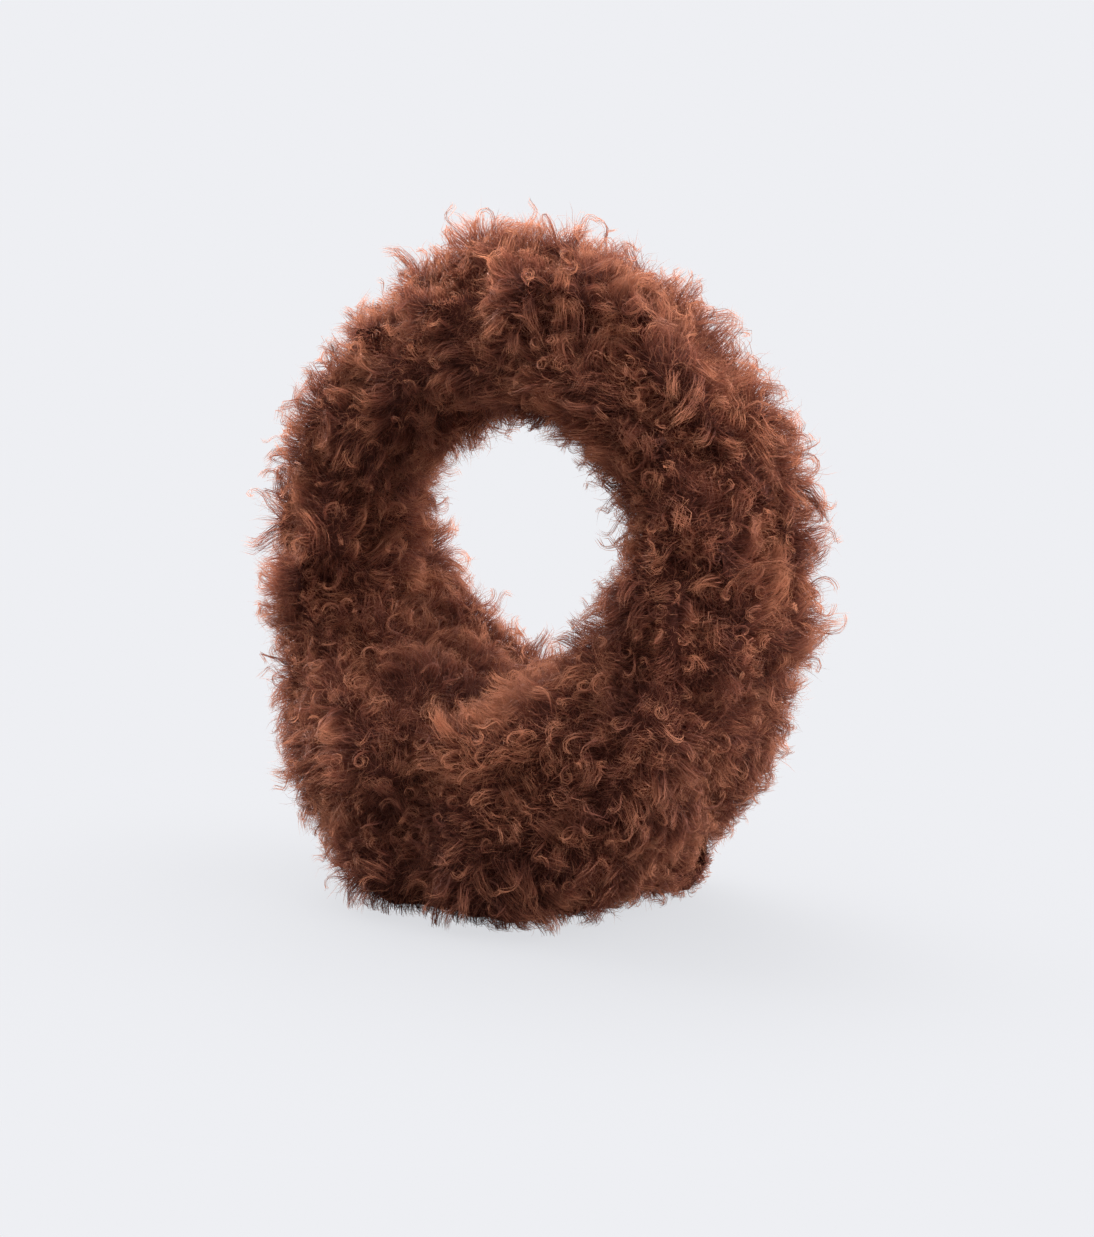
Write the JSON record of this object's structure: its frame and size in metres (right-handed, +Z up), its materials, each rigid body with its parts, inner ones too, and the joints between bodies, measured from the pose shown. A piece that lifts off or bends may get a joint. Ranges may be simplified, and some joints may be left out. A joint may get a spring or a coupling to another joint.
{
  "type": "fur earmuffs",
  "caption": "Curly fur earmuffs, a thick padded headband arching between deep fur ear pads, standing upright on the pads.",
  "frame": {"origin": "centre of the floor that the earmuffs stand on, between the two ear pads", "axes": "+X from the wearer's left ear to the right ear, Y from one face of the loop to the other, +Z up to the crown"},
  "size_m": [0.2177, 0.1298, 0.2206],
  "materials": {
    "band_fur": "curly rust brown shearling, matt with a light sheen on the curls",
    "pad_fur": "curly rust brown shearling, matt with a light sheen on the curls"
  },
  "bodies": {
    "root": {"headband": "band_fur", "left_ear_pad": "pad_fur", "right_ear_pad": "pad_fur"}
  },
  "joints": []
}
